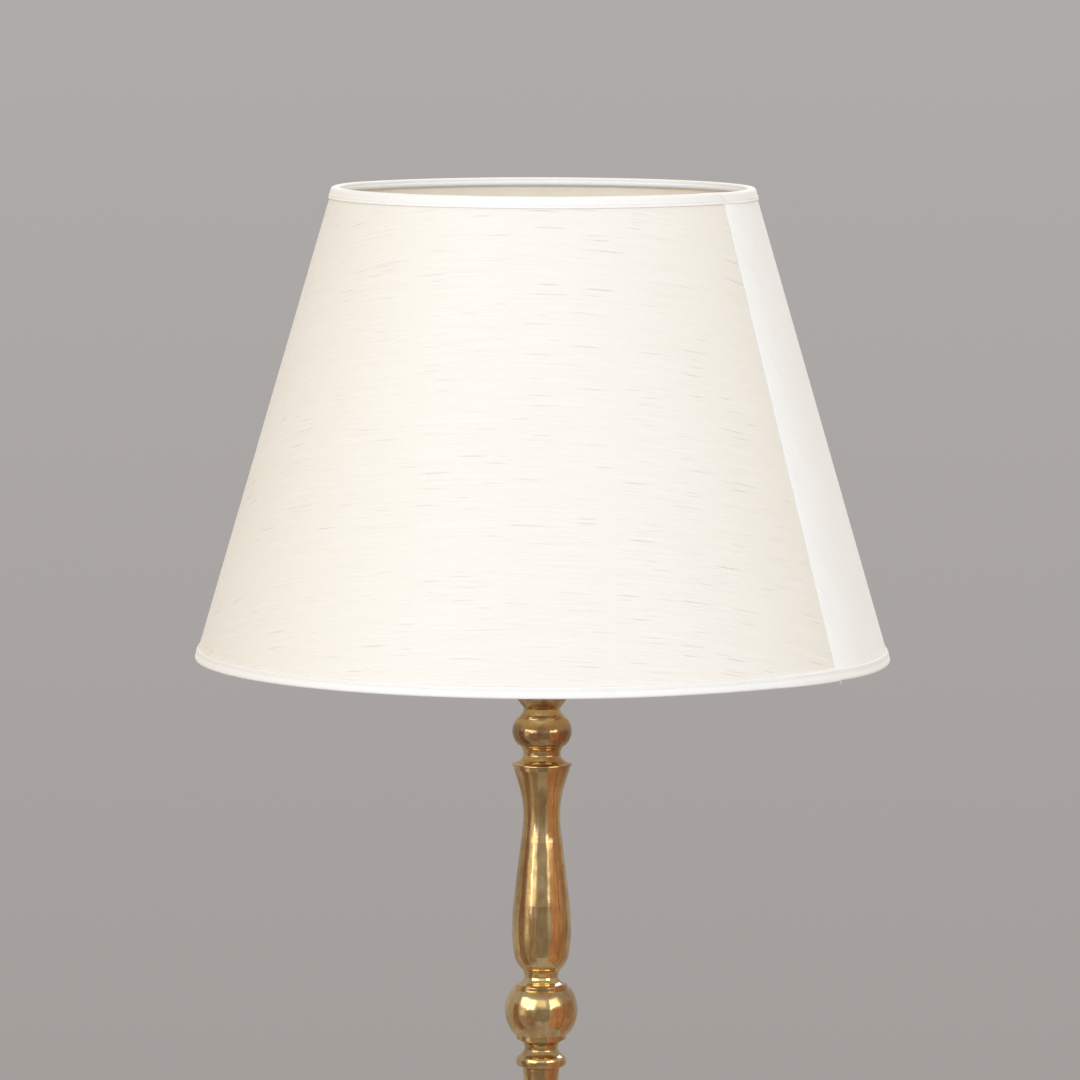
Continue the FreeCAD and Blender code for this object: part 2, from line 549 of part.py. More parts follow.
def build_shade():
    """Two half sheets of silk on a stiff lining, lapped at both ends, with wired and bound edges."""
    lap = size("lap_angle")
    front_start, front_sweep = SEAM_START + HALF_TURN - lap, HALF_TURN + 2 * lap
    shade_layer("front_sheet", front_start, front_sweep)
    shade_layer("front_lining", front_start, front_sweep)
    shade_layer("back_sheet", SEAM_START, HALF_TURN)
    shade_layer("back_lining", SEAM_START + lap + LINING_GAP, HALF_TURN - 2 * (lap + LINING_GAP))
    for name, alias, sign, height in (
            ("bottom_ring", "lining_bottom_radius", "-", "Sizes.shade_top - Sizes.shade_height + %g" % RING_UP),
            ("top_ring", "lining_top_radius", "+", "Sizes.shade_top - %g" % RING_UP)):
        radius = "Sizes.%s %s Sizes.shade_slope * %g - %g" % (alias, sign, RING_UP, RING_IN)
        keep(name, primitive("Torus", name + "_wire", {"Radius1": radius, "Radius2": "Sizes.hem_ring_wire"},
                             at_height=height))
    turned("bottom_trim", BOTTOM_TRIM, "Sizes.shade_top - Sizes.shade_height")
    turned("top_trim", TOP_TRIM, "Sizes.shade_top - Sizes.top_trim_length")


def check_and_write():
    """Stops if any object failed, then writes each sub-part's solid to a file of its own."""
    doc.recompute()
    failed = [item.Label for item in doc.Objects if "Invalid" in item.State or "Error" in item.State]
    if failed:
        raise RuntimeError("failed to build: %s" % ", ".join(failed))
    os.makedirs("parts", exist_ok=True)
    for name, piece in parts.items():
        if piece.Shape.isNull() or not piece.Shape.isValid() or piece.Shape.Volume <= 0:
            raise RuntimeError("%s has no valid solid" % name)
    for name, piece in parts.items():
        piece.Shape.exportStep("parts/%s.step" % name)
        print("%-20s %2d solid %12.1f mm3" % (name, len(piece.Shape.Solids), piece.Shape.Volume))


BOTTOM_TRIM = hem_outline(size("lining_bottom_radius"), True)
TOP_TRIM = hem_outline(size("lining_top_radius"), False)
OUTLINES = dict(
    COLUMN, base_shell=BASE_TOP, base_weight=WEIGHT, base_felt=FELT, base_washer=WASHER, holder_cap=HOLDER_CAP,
    holder_shell=HOLDER_SHELL, insulating_liner=SLEEVE_LINER, holder_core=HOLDER_CORE, screw_shell=SCREW_SHELL,
    centre_contact=CENTRE_CONTACT, bulb_cap=BULB_CAP, bulb_glass=BULB_GLASS, saddle_collar=SPACER, harp_stud=STUD,
    harp_sleeve_left=SLEEVE, harp_sleeve_right=SLEEVE, spider_hub=HUB, finial=FINIAL, bottom_trim=BOTTOM_TRIM,
    top_trim=TOP_TRIM)

for piece_name, piece_outline in OUTLINES.items():
    note_size(piece_name, piece_outline)
fill_sheet()
top_of_column = build_column()
build_tube(top_of_column)
build_base()
build_holder(top_of_column)
build_spider(build_harp(top_of_column))
build_shade()
check_and_write()
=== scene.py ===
"""Turned brass floor lamp with a lapped silk shade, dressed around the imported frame. Metres, +Z up, -Y the front."""

import json
import math
import random

import bmesh
import bpy
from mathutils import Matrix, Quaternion, Vector


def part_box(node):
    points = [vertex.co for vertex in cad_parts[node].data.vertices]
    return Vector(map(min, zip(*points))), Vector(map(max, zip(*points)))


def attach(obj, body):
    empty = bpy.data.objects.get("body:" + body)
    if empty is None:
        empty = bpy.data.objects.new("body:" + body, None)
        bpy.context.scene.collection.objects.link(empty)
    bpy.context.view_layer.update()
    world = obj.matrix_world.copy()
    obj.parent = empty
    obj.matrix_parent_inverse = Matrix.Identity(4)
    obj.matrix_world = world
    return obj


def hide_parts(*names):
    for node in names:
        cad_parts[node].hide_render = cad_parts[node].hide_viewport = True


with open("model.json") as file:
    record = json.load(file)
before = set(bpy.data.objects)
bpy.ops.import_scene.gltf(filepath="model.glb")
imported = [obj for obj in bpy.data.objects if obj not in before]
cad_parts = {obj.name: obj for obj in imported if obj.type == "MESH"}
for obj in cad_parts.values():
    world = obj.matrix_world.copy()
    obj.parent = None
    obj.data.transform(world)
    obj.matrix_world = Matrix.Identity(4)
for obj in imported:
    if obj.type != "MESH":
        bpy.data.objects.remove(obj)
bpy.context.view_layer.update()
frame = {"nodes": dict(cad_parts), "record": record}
MM = 0.001

# ---------------------------------------------------------------------------------------------- the shade's shape

TRIM_LOW, TRIM_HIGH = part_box("bottom_trim"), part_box("top_trim")
SHADE_FOOT = TRIM_LOW[0].z
SHADE_HEAD = TRIM_HIGH[1].z
SHADE_HEIGHT = SHADE_HEAD - SHADE_FOOT
HEM_REACH = 2.6 * MM                     # from the lining's inside to the outside of the bound edge
LINING_FOOT = TRIM_LOW[1].x - HEM_REACH  # the lining's inner radius at the shade's lower edge
SLOPE = 0.2897                           # loss of radius with height
CONE = math.atan(SLOPE)
SEAM = math.radians(56.6)                # the visible lapped edge, round from the front towards +X
LAP = math.radians(5.5)                  # the front sheet runs on this far under the back sheet
SWELL = 0.013                            # the back sheet stands out by this share beyond the front one's hidden edge
SWELL_PEAK = math.radians(10.0)          # how far from the seam it stands out most
HOLLOW = 0.011                           # the sheet is a little flat before it comes to the lap
HOLLOW_FROM, HOLLOW_TO = math.radians(6.0), SEAM
SHEET_INSET = 1.0 * MM


def plan(angle):
    """The shade's plan radius at an angle round from the front, as a share of its nominal radius."""
    turn = (angle - SEAM + math.pi) % math.pi      # both laps look the same: 0 at a seam, growing away from it
    swell = SWELL * turn / SWELL_PEAK * math.exp(1 - turn / SWELL_PEAK)
    before = math.pi - turn                        # how far there is still to go to the next seam
    span = HOLLOW_TO - HOLLOW_FROM
    hollow = HOLLOW * math.sin(math.pi * before / span) ** 2 if before < span else 0
    return 1 + swell - hollow


def shade_point(angle, height, out):
    """A point of the shade at a height above its lower edge, the given distance outside the lining's inner face."""
    radius = (LINING_FOOT - SLOPE * height) * plan(angle) + out / math.cos(CONE)
    return Vector((radius * math.sin(angle), -radius * math.cos(angle), SHADE_FOOT + height))


# ------------------------------------------------------------------------------------------------------- materials

def new_material(name, color, roughness, metallic=0.0, **uniform):
    """A principled material whose uniform values sit on the shader's own sockets."""
    made = bpy.data.materials.new(name)
    made.use_nodes = True
    shader = made.node_tree.nodes["Principled BSDF"]
    shader.inputs["Base Color"].default_value = (*color, 1)
    shader.inputs["Roughness"].default_value = roughness
    shader.inputs["Metallic"].default_value = metallic
    for socket, value in uniform.items():
        shader.inputs[socket.replace("_", " ")].default_value = value
    return made


class Graph:
    """Short ways to add and join the nodes of a material or the world."""

    def __init__(self, owner):
        self.nodes, self.links = owner.node_tree.nodes, owner.node_tree.links
        self.shader = self.nodes.get("Principled BSDF")

    def add(self, kind, settings=(), inputs=()):
        node = self.nodes.new("ShaderNode" + kind)
        for key, value in dict(settings).items():
            setattr(node, key, value)
        for key, value in dict(inputs).items():
            self.feed(node.inputs[key], value)
        return node

    def feed(self, socket, value):
        if isinstance(value, bpy.types.NodeSocket):
            self.links.new(value, socket)
        else:
            socket.default_value = value

    def object_space(self):
        return self.add("TexCoord").outputs["Object"]

    def attribute(self, name):
        return self.add("Attribute", {"attribute_name": name}).outputs["Vector"]

    def scaled(self, vector, scale):
        return self.add("Mapping", {}, {"Vector": vector, "Scale": scale}).outputs["Vector"]

    def noise(self, vector, scale, detail=3.0, roughness=0.5):
        node = self.add("TexNoise", {}, {"Vector": vector, "Scale": scale, "Detail": detail, "Roughness": roughness})
        return node.outputs["Fac"]

    def ramp(self, factor, low, high, to_low=0.0, to_high=1.0):
        node = self.add("MapRange", {}, {"Value": factor, "From Min": low, "From Max": high, "To Min": to_low,
                                         "To Max": to_high})
        return node.outputs["Result"]

    def blend(self, factor, first, second, mode="MIX"):
        node = self.add("Mix", {"data_type": "RGBA", "blend_type": mode})
        self.feed(node.inputs["Factor"], factor)
        for socket, color in ((node.inputs[6], first), (node.inputs[7], second)):
            self.feed(socket, color if isinstance(color, bpy.types.NodeSocket) else (*color, 1))
        return node.outputs[2]

    def maths(self, operation, first, second):
        node = self.add("Math", {"operation": operation})
        self.feed(node.inputs[0], first)
        self.feed(node.inputs[1], second)
        return node.outputs[0]

    def bump(self, height, distance, strength):
        node = self.add("Bump", {}, {"Height": height, "Distance": distance, "Strength": strength})
        self.links.new(node.outputs["Normal"], self.shader.inputs["Normal"])


def silk(name, color, shadow):
    """Slubbed silk: fine ribs along the weft, with long thick places in single threads. The cloth attribute holds
    each point's place on the flat cut: x along the weft and y across it, in metres."""
    made = new_material(name, color, 0.55, Sheen_Weight=0.25, Sheen_Roughness=0.4, Specular_IOR_Level=0.35)
    g = Graph(made)
    cloth = g.attribute("cloth")
    ribs = g.noise(g.scaled(cloth, (14, 1150, 1)), 1.0, 2.0)
    threads = g.noise(g.scaled(cloth, (45, 2600, 1)), 1.0, 1.0)
    slub_field = g.noise(g.scaled(cloth, (26, 640, 1)), 1.0, 1.0)
    slubs = g.ramp(slub_field, 0.68, 0.80)
    warp = g.noise(g.scaled(cloth, (1900, 30, 1)), 1.0, 1.0)
    cloudy = g.noise(cloth, 9.0, 2.0)
    tone = g.blend(g.ramp(ribs, 0.3, 0.7, 0.0, 0.9), color, shadow)
    tone = g.blend(g.ramp(cloudy, 0.35, 0.7, 0.0, 0.25), tone, shadow)
    tone = g.blend(g.maths("MULTIPLY", slubs, 0.8), tone, [min(1.0, c * 1.05) for c in color])
    g.feed(g.shader.inputs["Base Color"], tone)
    relief = g.maths("ADD", ribs, g.maths("MULTIPLY", threads, 0.5))
    relief = g.maths("ADD", relief, g.maths("MULTIPLY", warp, 0.25))
    relief = g.maths("ADD", relief, g.maths("MULTIPLY", slubs, 1.6))
    g.bump(relief, 0.0003, 0.8)
    return made


def binding_cloth(name, light, dark):
    """Bias binding: fine diagonal threads."""
    made = new_material(name, light, 0.6, Sheen_Weight=0.3, Sheen_Roughness=0.4, Specular_IOR_Level=0.3)
    g = Graph(made)
    turn = {"Vector": g.attribute("cloth"), "Rotation": (0, 0, math.radians(45))}
    bias = g.add("Mapping", {}, turn).outputs["Vector"]
    weft = g.noise(g.scaled(bias, (60, 1700, 1)), 1.0, 1.0)
    warp = g.noise(g.scaled(bias, (1700, 60, 1)), 1.0, 1.0)
    both = g.maths("ADD", weft, warp)
    g.feed(g.shader.inputs["Base Color"], g.blend(g.ramp(both, 0.7, 1.3), light, dark))
    g.bump(both, 0.00012, 0.6)
    return made


def lining_film():
    """The stiff film inside the shade: smooth, warm and faintly mottled. Its pale warm tone is partly painted light,
    made brighter than the film itself for the light that shines in through the silk.
    """
    made = new_material("lining_film", (0.94, 0.86, 0.70), 0.42, Specular_IOR_Level=0.4)
    g = Graph(made)
    cloth = g.attribute("cloth")
    mottle = g.noise(cloth, 38.0, 4.0)
    g.feed(g.shader.inputs["Base Color"],
           g.blend(g.ramp(mottle, 0.35, 0.7), (0.95, 0.875, 0.72), (0.91, 0.82, 0.64)))
    g.bump(g.noise(cloth, 700.0, 2.0), 0.00005, 0.5)
    return made


SCRATCH_AT = (5.0 * MM, -12.8 * MM, 1029.4 * MM)     # a pale scratch across the front of the upper baluster
SCRATCH_SPAN = (1 / (2.6 * MM), 1 / (3.0 * MM), 1 / (0.55 * MM))


BEAD_FOOT, BEAD_HEAD = (corner.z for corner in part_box("neck_bead"))
CUP_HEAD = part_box("top_cup")[1].z
REFLECTED_BROWN = (0.33, 0.19, 0.11)                         # painted reflection: the dark brown of the room that the bead and the cup above it mirror, laid into their colour


def aged_brass(name, color, deep, age=1.0):
    """Polished brass under old lacquer: turning lines, shallow dents, hazy patches, small dark nicks."""
    made = new_material(name, color, 0.12, 1.0)
    g = Graph(made)
    place = g.object_space()
    haze = g.noise(place, 22.0, 5.0, 0.6)
    blotch = g.noise(g.scaled(place, (1, 1, 0.55)), 75.0, 5.0, 0.65)
    speck = g.add("TexVoronoi", {}, {"Vector": place, "Scale": 260.0, "Randomness": 1.0}).outputs["Distance"]
    nick = g.maths("MULTIPLY", g.ramp(speck, 0.16, 0.05), g.ramp(blotch, 0.56, 0.66))
    fine = g.noise(g.scaled(place, (60, 60, 2600)), 1.0, 2.0)
    dents = g.noise(g.scaled(place, (1, 1, 0.4)), 70.0, 2.0)
    rubbed = g.ramp(haze, 0.42, 0.68)
    tone = g.blend(g.maths("MULTIPLY", rubbed, 0.75 * age), color, deep)
    tone = g.blend(g.maths("MULTIPLY", g.ramp(blotch, 0.47, 0.66), 0.6 * age), tone, deep)
    rise = g.add("SeparateXYZ", {}, {"Vector": place}).outputs["Z"]
    # painted reflection: a band over the bead and the cup is browned for the dark room that they mirror
    brown_reflection_band = g.maths("MULTIPLY", g.ramp(rise, BEAD_FOOT, BEAD_FOOT + 2 * MM),
                   g.ramp(rise, BEAD_HEAD - 3 * MM, BEAD_HEAD - 7 * MM))
    cup = g.maths("MULTIPLY", g.ramp(rise, BEAD_HEAD + 4 * MM, BEAD_HEAD + 8 * MM),
                  g.ramp(rise, CUP_HEAD + 2 * MM, CUP_HEAD + 1 * MM))
    brown_reflection_band = g.maths("ADD", brown_reflection_band, cup)
    tone = g.blend(g.maths("MULTIPLY", brown_reflection_band, g.ramp(blotch, 0.34, 0.58, 0.1, 0.8 * age)), tone, REFLECTED_BROWN)
    tone = g.blend(g.maths("MULTIPLY", nick, 0.7 * age), tone, (0.10, 0.065, 0.03))
    from_scratch = g.add("VectorMath", {"operation": "SUBTRACT"}, {0: place, 1: SCRATCH_AT}).outputs["Vector"]
    beside = g.add("VectorMath", {"operation": "LENGTH"}, {0: g.scaled(from_scratch, SCRATCH_SPAN)}).outputs["Value"]
    scratch = g.ramp(beside, 1.0, 0.55)
    tone = g.blend(scratch, tone, (0.92, 0.86, 0.72))
    g.feed(g.shader.inputs["Base Color"], tone)
    rough = g.maths("ADD", g.ramp(haze, 0.35, 0.75, 0.08, 0.17), g.ramp(blotch, 0.45, 0.75, 0.0, 0.12))
    rough = g.maths("ADD", rough, g.maths("MULTIPLY", scratch, 0.5))
    g.feed(g.shader.inputs["Roughness"], g.maths("ADD", rough, g.maths("MULTIPLY", nick, 0.3)))
    relief = g.maths("ADD", g.maths("MULTIPLY", fine, 0.10), g.maths("MULTIPLY", blotch, 0.35))
    relief = g.maths("ADD", relief, g.maths("MULTIPLY", dents, 4.0))
    relief = g.maths("SUBTRACT", relief, g.maths("MULTIPLY", nick, 0.6))
    g.bump(relief, 0.0003, 0.6)
    return made


def plain_metal(name, color, roughness):
    """Plated or drawn metal with a faint grain."""
    made = new_material(name, color, roughness, 1.0)
    g = Graph(made)
    grain = g.noise(g.object_space(), 180.0, 4.0)
    g.feed(g.shader.inputs["Roughness"], g.ramp(grain, 0.3, 0.7, roughness * 0.7, roughness * 1.35))
    g.feed(g.shader.inputs["Base Color"], g.blend(g.ramp(grain, 0.45, 0.8), color, [c * 0.78 for c in color]))
    g.bump(grain, 0.00003, 0.5)
    return made


def dull_solid(name, color, worn, roughness, scale, relief):
    """Moulded plastic, cast iron, fibre or felt: two tones and a relief at the material's own scale."""
    made = new_material(name, color, roughness)
    g = Graph(made)
    grain = g.noise(g.object_space(), scale, 6.0, 0.65)
    g.feed(g.shader.inputs["Base Color"], g.blend(g.ramp(grain, 0.38, 0.66), color, worn))
    g.bump(grain, relief, 0.7)
    return made


def frosted_glass():
    """An unlit bulb: white coated glass with a gloss outside."""
    made = new_material("bulb_frosted", (0.90, 0.90, 0.88), 0.22, Coat_Weight=0.6, Coat_Roughness=0.05,
                        Subsurface_Weight=0.15, Subsurface_Scale=0.01)
    g = Graph(made)
    powder = g.noise(g.object_space(), 420.0, 3.0)
    g.feed(g.shader.inputs["Roughness"], g.ramp(powder, 0.3, 0.7, 0.18, 0.3))
    g.feed(g.shader.inputs["Base Color"],
           g.blend(g.ramp(powder, 0.4, 0.7), (0.91, 0.91, 0.89), (0.86, 0.86, 0.83)))
    return made


BRASS = (0.84, 0.655, 0.365)
BRASS_DEEP = (0.46, 0.27, 0.12)
FINISH = {
    "aged_brass": aged_brass("aged_brass", BRASS, BRASS_DEEP),
    "base_brass": aged_brass("base_brass", BRASS, BRASS_DEEP, 0.8),
    "holder_brass": aged_brass("holder_brass", (0.88, 0.68, 0.32), (0.6, 0.4, 0.16), 0.5),
    "harp_brass": aged_brass("harp_brass", (0.88, 0.70, 0.36), (0.6, 0.42, 0.18), 0.4),
    "zinc_steel": plain_metal("zinc_steel", (0.66, 0.66, 0.65), 0.32),
    "screw_shell_metal": plain_metal("screw_shell_metal", (0.80, 0.80, 0.79), 0.2),
    "iron_weight": dull_solid("iron_weight", (0.035, 0.034, 0.034), (0.07, 0.05, 0.04), 0.8, 240.0, 0.0004),
    "green_felt": dull_solid("green_felt", (0.035, 0.10, 0.06), (0.05, 0.14, 0.085), 0.95, 900.0, 0.0005),
    "dark_plastic": dull_solid("dark_plastic", (0.022, 0.017, 0.014), (0.035, 0.028, 0.022), 0.35, 500.0, 0.00004),
    "fibre_liner": dull_solid("fibre_liner", (0.42, 0.33, 0.21), (0.34, 0.26, 0.16), 0.8, 380.0, 0.00008),
    "bulb_glass": frosted_glass(),
    "silk": silk("silk_front", (0.815, 0.765, 0.68), (0.775, 0.72, 0.625)),
    # silk_back: the same silk with a paler, cooler base colour, which is painted sheen for the brighter gloss of the
    # back sheet's upright weave
    "silk_back": silk("silk_back", (0.895, 0.873, 0.832), (0.82, 0.796, 0.752)),
    "lining": lining_film(),
    "binding": binding_cloth("bias_binding", (0.845, 0.815, 0.765), (0.795, 0.76, 0.70)),
    # inner_tape: a white tape, painted paler still for the light that shines through the shade onto the rim's inside
    # (painted light)
    "inner_tape": binding_cloth("inner_tape", (0.955, 0.96, 0.96), (0.92, 0.92, 0.91)),
}


# ---------------------------------------------------------------------------------------------------- mesh helpers

def mesh_object(name, points, faces, finish, cloth):
    """A smooth mesh piece with its finish and each point's place on the flat cloth."""
    data = bpy.data.meshes.new(name)
    data.from_pydata([tuple(p) for p in points], [], faces)
    data.update()
    data.polygons.foreach_set("use_smooth", [True] * len(data.polygons))
    layer = data.attributes.new("cloth", "FLOAT_VECTOR", "POINT")
    layer.data.foreach_set("vector", [value for x, y in cloth for value in (x, y, 0.0)])
    made = bpy.data.objects.new(name, data)
    bpy.context.scene.collection.objects.link(made)
    data.materials.append(FINISH[finish])
    return made


def place(piece, body, slot, *nodes):
    """Parents a piece to the body it rides on and hides the CAD nodes that it stands for. The slot argument is not
    used.
    """
    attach(piece, body)
    if nodes:
        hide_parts(*nodes)


CRISP = math.radians(40)


def sharpen(piece):
    """Keeps edges sharper than CRISP from being shaded smooth."""
    mesh = bmesh.new()
    mesh.from_mesh(piece.data)
    for edge in mesh.edges:
        edge.smooth = not (edge.is_manifold and edge.calc_face_angle(0) > CRISP)
    mesh.to_mesh(piece.data)
    mesh.free()


def face_outwards(piece):
    """Turns every face of a closed piece to look outwards."""
    mesh = bmesh.new()
    mesh.from_mesh(piece.data)
    bmesh.ops.recalc_face_normals(mesh, faces=mesh.faces)
    mesh.to_mesh(piece.data)
    mesh.free()


def on_flat_cut(angle, height, centre):
    """Where a point of the cone lies when the sheet is laid flat, with the cone's centre line at angle centre."""
    slant = (LINING_FOOT - SLOPE * height) / math.sin(CONE)
    swing = (angle - centre) * math.sin(CONE)
    return slant * math.sin(swing), slant * math.cos(swing)


AROUND = 480           # steps round a half sheet
UPWARD = 60            # steps up it


def half_sheet(name, start, end, inner, outer, finish, cut_centre, upright=False, ragged=0.0):
    """A half sheet with its thickness: an outer and an inner face joined round the edges."""
    rng = random.Random(name)
    fray = [rng.uniform(-ragged, ragged) for _ in range(UPWARD + 1)]
    points, cloth, faces = [], [], []
    for side in (0, 1):
        for i in range(AROUND + 1):
            share = i / AROUND
            for j in range(UPWARD + 1):
                height = SHEET_INSET + (SHADE_HEIGHT - 2 * SHEET_INSET) * j / UPWARD
                angle = start + (end - start) * share
                if i in (0, AROUND):
                    angle += fray[j] / (LINING_FOOT - SLOPE * height)
                out = (outer if side == 0 else inner)(angle)
                points.append(shade_point(angle, height, out))
                across, along = on_flat_cut(angle, height, cut_centre)
                cloth.append((along, across) if upright else (across, along))
    row = UPWARD + 1
    layer = row * (AROUND + 1)
    for i in range(AROUND):
        for j in range(UPWARD):
            a, b = i * row + j, (i + 1) * row + j
            faces.append((a, b, b + 1, a + 1))
            faces.append((layer + a, layer + a + 1, layer + b + 1, layer + b))
        for a, b in ((i * row, (i + 1) * row), ((i + 1) * row - 1, (i + 2) * row - 1)):
            faces.append((a, layer + a, layer + b, b))
    for first in (0, AROUND * row):
        for a in range(first, first + UPWARD):
            faces.append((a, a + 1, layer + a + 1, layer + a))
    made = mesh_object(name, points, faces, finish, cloth)
    face_outwards(made)
    sharpen(made)
    return made


# ------------------------------------------------------------------------------------------------ the shade's parts

HALF = math.pi
FRONT_START, FRONT_END = SEAM - HALF - LAP, SEAM + LAP * 0.9
BACK_START, BACK_END = SEAM, SEAM + HALF
LINING_THICK, SILK_THICK, GLUE = 0.5 * MM, 0.5 * MM, 0.05 * MM
LAP_FADE = math.radians(5)               # the back sheet comes down to the lining over this much past a lap
FRONT_CUT = math.radians(-7.0)           # the front sheet's weft runs level at this angle


def over_lap(angle):
    """How far the back sheet is lifted off the lining by the front sheet's hidden edge: 1 over it, fading to 0."""
    turn = (angle - SEAM + HALF) % HALF
    far = min(turn, HALF - turn) - LAP
    return 1.0 if far < 0 else max(0.0, 1 - far / LAP_FADE)


def build_silk():
    base = LINING_THICK + GLUE
    front = half_sheet("front_silk", FRONT_START, FRONT_END, lambda a: base, lambda a: base + SILK_THICK, "silk",
                       FRONT_CUT)
    place(front, "shade", "silk", "front_sheet")

    def back_inner(angle):
        return base + over_lap(angle) * (SILK_THICK + GLUE)

    back = half_sheet("back_silk", BACK_START, BACK_END, back_inner, lambda a: back_inner(a) + SILK_THICK,
                      "silk_back", SEAM + HALF / 2, upright=True, ragged=0.25 * MM)
    place(back, "shade", "silk_back", "back_sheet")
    return front, back


def build_lining():
    gap = math.radians(0.15)
    front = half_sheet("front_film", FRONT_START, FRONT_END - gap, lambda a: 0.0, lambda a: LINING_THICK, "lining",
                       FRONT_CUT)
    place(front, "shade", "lining", "front_lining")
    back = half_sheet("back_film", FRONT_END + gap, BACK_END - LAP - gap, lambda a: 0.0, lambda a: LINING_THICK,
                      "lining", SEAM + HALF / 2)
    place(back, "shade", "lining", "back_lining")


ROUND = 900            # steps right round a bound edge


# A bound edge in section, as (outwards, inwards from the shade's edge) in millimetres: an outer wall with a raised
# rib along its edge, a round fold over the ring wire, and an inner wall that comes back to the lining.
HEM_WALL = [(1.05, 8.25), (1.75, 8.12), (2.05, 7.65), (2.0, 7.05), (1.78, 6.6), (1.8, 5.0), (1.95, 3.2),
            (2.0, 1.8), (1.75, 0.75), (1.1, 0.15)]
HEM_FOLD = [(0.2, 0.0), (-1.2, 0.0), (-2.7, 0.1), (-3.8, 0.6), (-4.35, 1.5), (-4.45, 2.8), (-4.35, 4.6),
            (-4.0, 5.7), (-3.1, 6.3), (-1.5, 6.7), (-0.12, 7.0)]
HEM_INSIDE = [(-0.12, 6.5), (-1.6, 6.1), (-3.0, 5.6), (-3.7, 4.6), (-3.9, 2.8), (-3.4, 1.5), (-1.8, 0.8),
              (0.5, 0.7), (1.2, 1.4), (1.1, 4.0)]


def along_profile(profile, lift):
    """The profile's points moved out along their own normals by the lift, in millimetres."""
    moved = []
    for index, (out, along) in enumerate(profile):
        before, after = profile[max(0, index - 1)], profile[min(len(profile) - 1, index + 1)]
        way = Vector((after[0] - before[0], after[1] - before[1])).normalized()
        moved.append((out - way.y * lift, along + way.x * lift))
    return moved


def hem_point(angle, upward, out, along):
    """A point of a bound edge's section; upward is true at the lower edge, where the section stands up."""
    return shade_point(angle, along * MM if upward else SHADE_HEIGHT - along * MM, out * MM)


def tape_end(name, upward, edge, reach, lift):
    """The folded end of a binding, lying on its own beginning: it is thickest along its end and dies away over the
    reach. The end lies at edge(share) round the shade, where share goes from the outer wall's edge to the fold."""
    profile = HEM_WALL + HEM_FOLD[:5]
    steps, sunk = 24, 0.06               # its underside lies this far in the binding below it
    points, cloth, faces = [], [], []
    for layer in (1, 0):
        for step in range(steps + 1):
            fade = step / steps
            raised = lift * math.cos(fade * math.pi / 2) if layer else 0.0
            for index, (out, along) in enumerate(along_profile(profile, raised - sunk)):
                angle = edge(index / (len(profile) - 1)) + reach * fade
                points.append(hem_point(angle, upward, out, along))
                cloth.append((angle * LINING_FOOT, (along + out) * MM))
    row = len(profile)
    far = row * (steps + 1)
    for step in range(steps):
        for index in range(row - 1):
            a, b = step * row + index, (step + 1) * row + index
            faces += [(a, b, b + 1, a + 1), (far + a, far + a + 1, far + b + 1, far + b)]
        for a, b in ((step * row, (step + 1) * row), ((step + 1) * row - 1, (step + 2) * row - 1)):
            faces.append((a, far + a, far + b, b))
    for first in (0, steps * row):
        for a in range(first, first + row - 1):
            faces.append((a, a + 1, far + a + 1, far + a))
    made = mesh_object(name, points, faces, "binding", cloth)
    face_outwards(made)
    sharpen(made)
    return made


def swept_round(name, profile, upward, finish):
    """A closed section swept right round the shade."""
    points, cloth, faces = [], [], []
    width = len(profile)
    for i in range(ROUND):
        angle = math.tau * i / ROUND
        for out, along in profile:
            points.append(hem_point(angle, upward, out, along))
            cloth.append((angle * LINING_FOOT, (along + out) * MM))
    for i in range(ROUND):
        a, b = i * width, ((i + 1) % ROUND) * width
        for j in range(width):
            k = (j + 1) % width
            faces.append((a + j, b + j, b + k, a + k))
    made = mesh_object(name, points, faces, finish, cloth)
    face_outwards(made)
    return made


def tube_along(name, points, radius, finish, closed=False, resolution=2):
    """A round wire or thread along a list of points."""
    curve = bpy.data.curves.new(name, "CURVE")
    curve.dimensions = "3D"
    curve.bevel_depth = radius
    curve.bevel_resolution = resolution
    curve.use_fill_caps = not closed
    line = curve.splines.new("POLY")
    line.points.add(len(points) - 1)
    for point, target in zip(line.points, points):
        point.co = (*target, 1)
    line.use_cyclic_u = closed
    holder = bpy.data.objects.new(name + "_curve", curve)
    bpy.context.scene.collection.objects.link(holder)
    data = bpy.data.meshes.new_from_object(holder)
    bpy.data.objects.remove(holder)
    made = bpy.data.objects.new(name, data)
    bpy.context.scene.collection.objects.link(made)
    data.materials.clear()
    data.materials.append(FINISH[finish])
    data.polygons.foreach_set("use_smooth", [True] * len(data.polygons))
    return made


def build_edges():
    """The two bound edges, and the wire hoops inside them."""
    ring_in, ring_up, wire = -1.85 * MM, 2.75 * MM, 1.75 * MM
    for name, upward, ring, trim in (("lower_binding", True, "bottom_ring", "bottom_trim"),
                                     ("upper_binding", False, "top_ring", "top_trim")):
        edge = swept_round(name, HEM_WALL + HEM_FOLD + HEM_INSIDE, upward, "binding")
        place(edge, "shade", "binding", trim)
        height = ring_up if upward else SHADE_HEIGHT - ring_up
        loop = [shade_point(math.tau * i / 360, height, ring_in) for i in range(360)]
        hoop = tube_along(name + "_hoop", loop, wire, "zinc_steel", closed=True)
        place(hoop, "shade", "zinc_steel", ring)


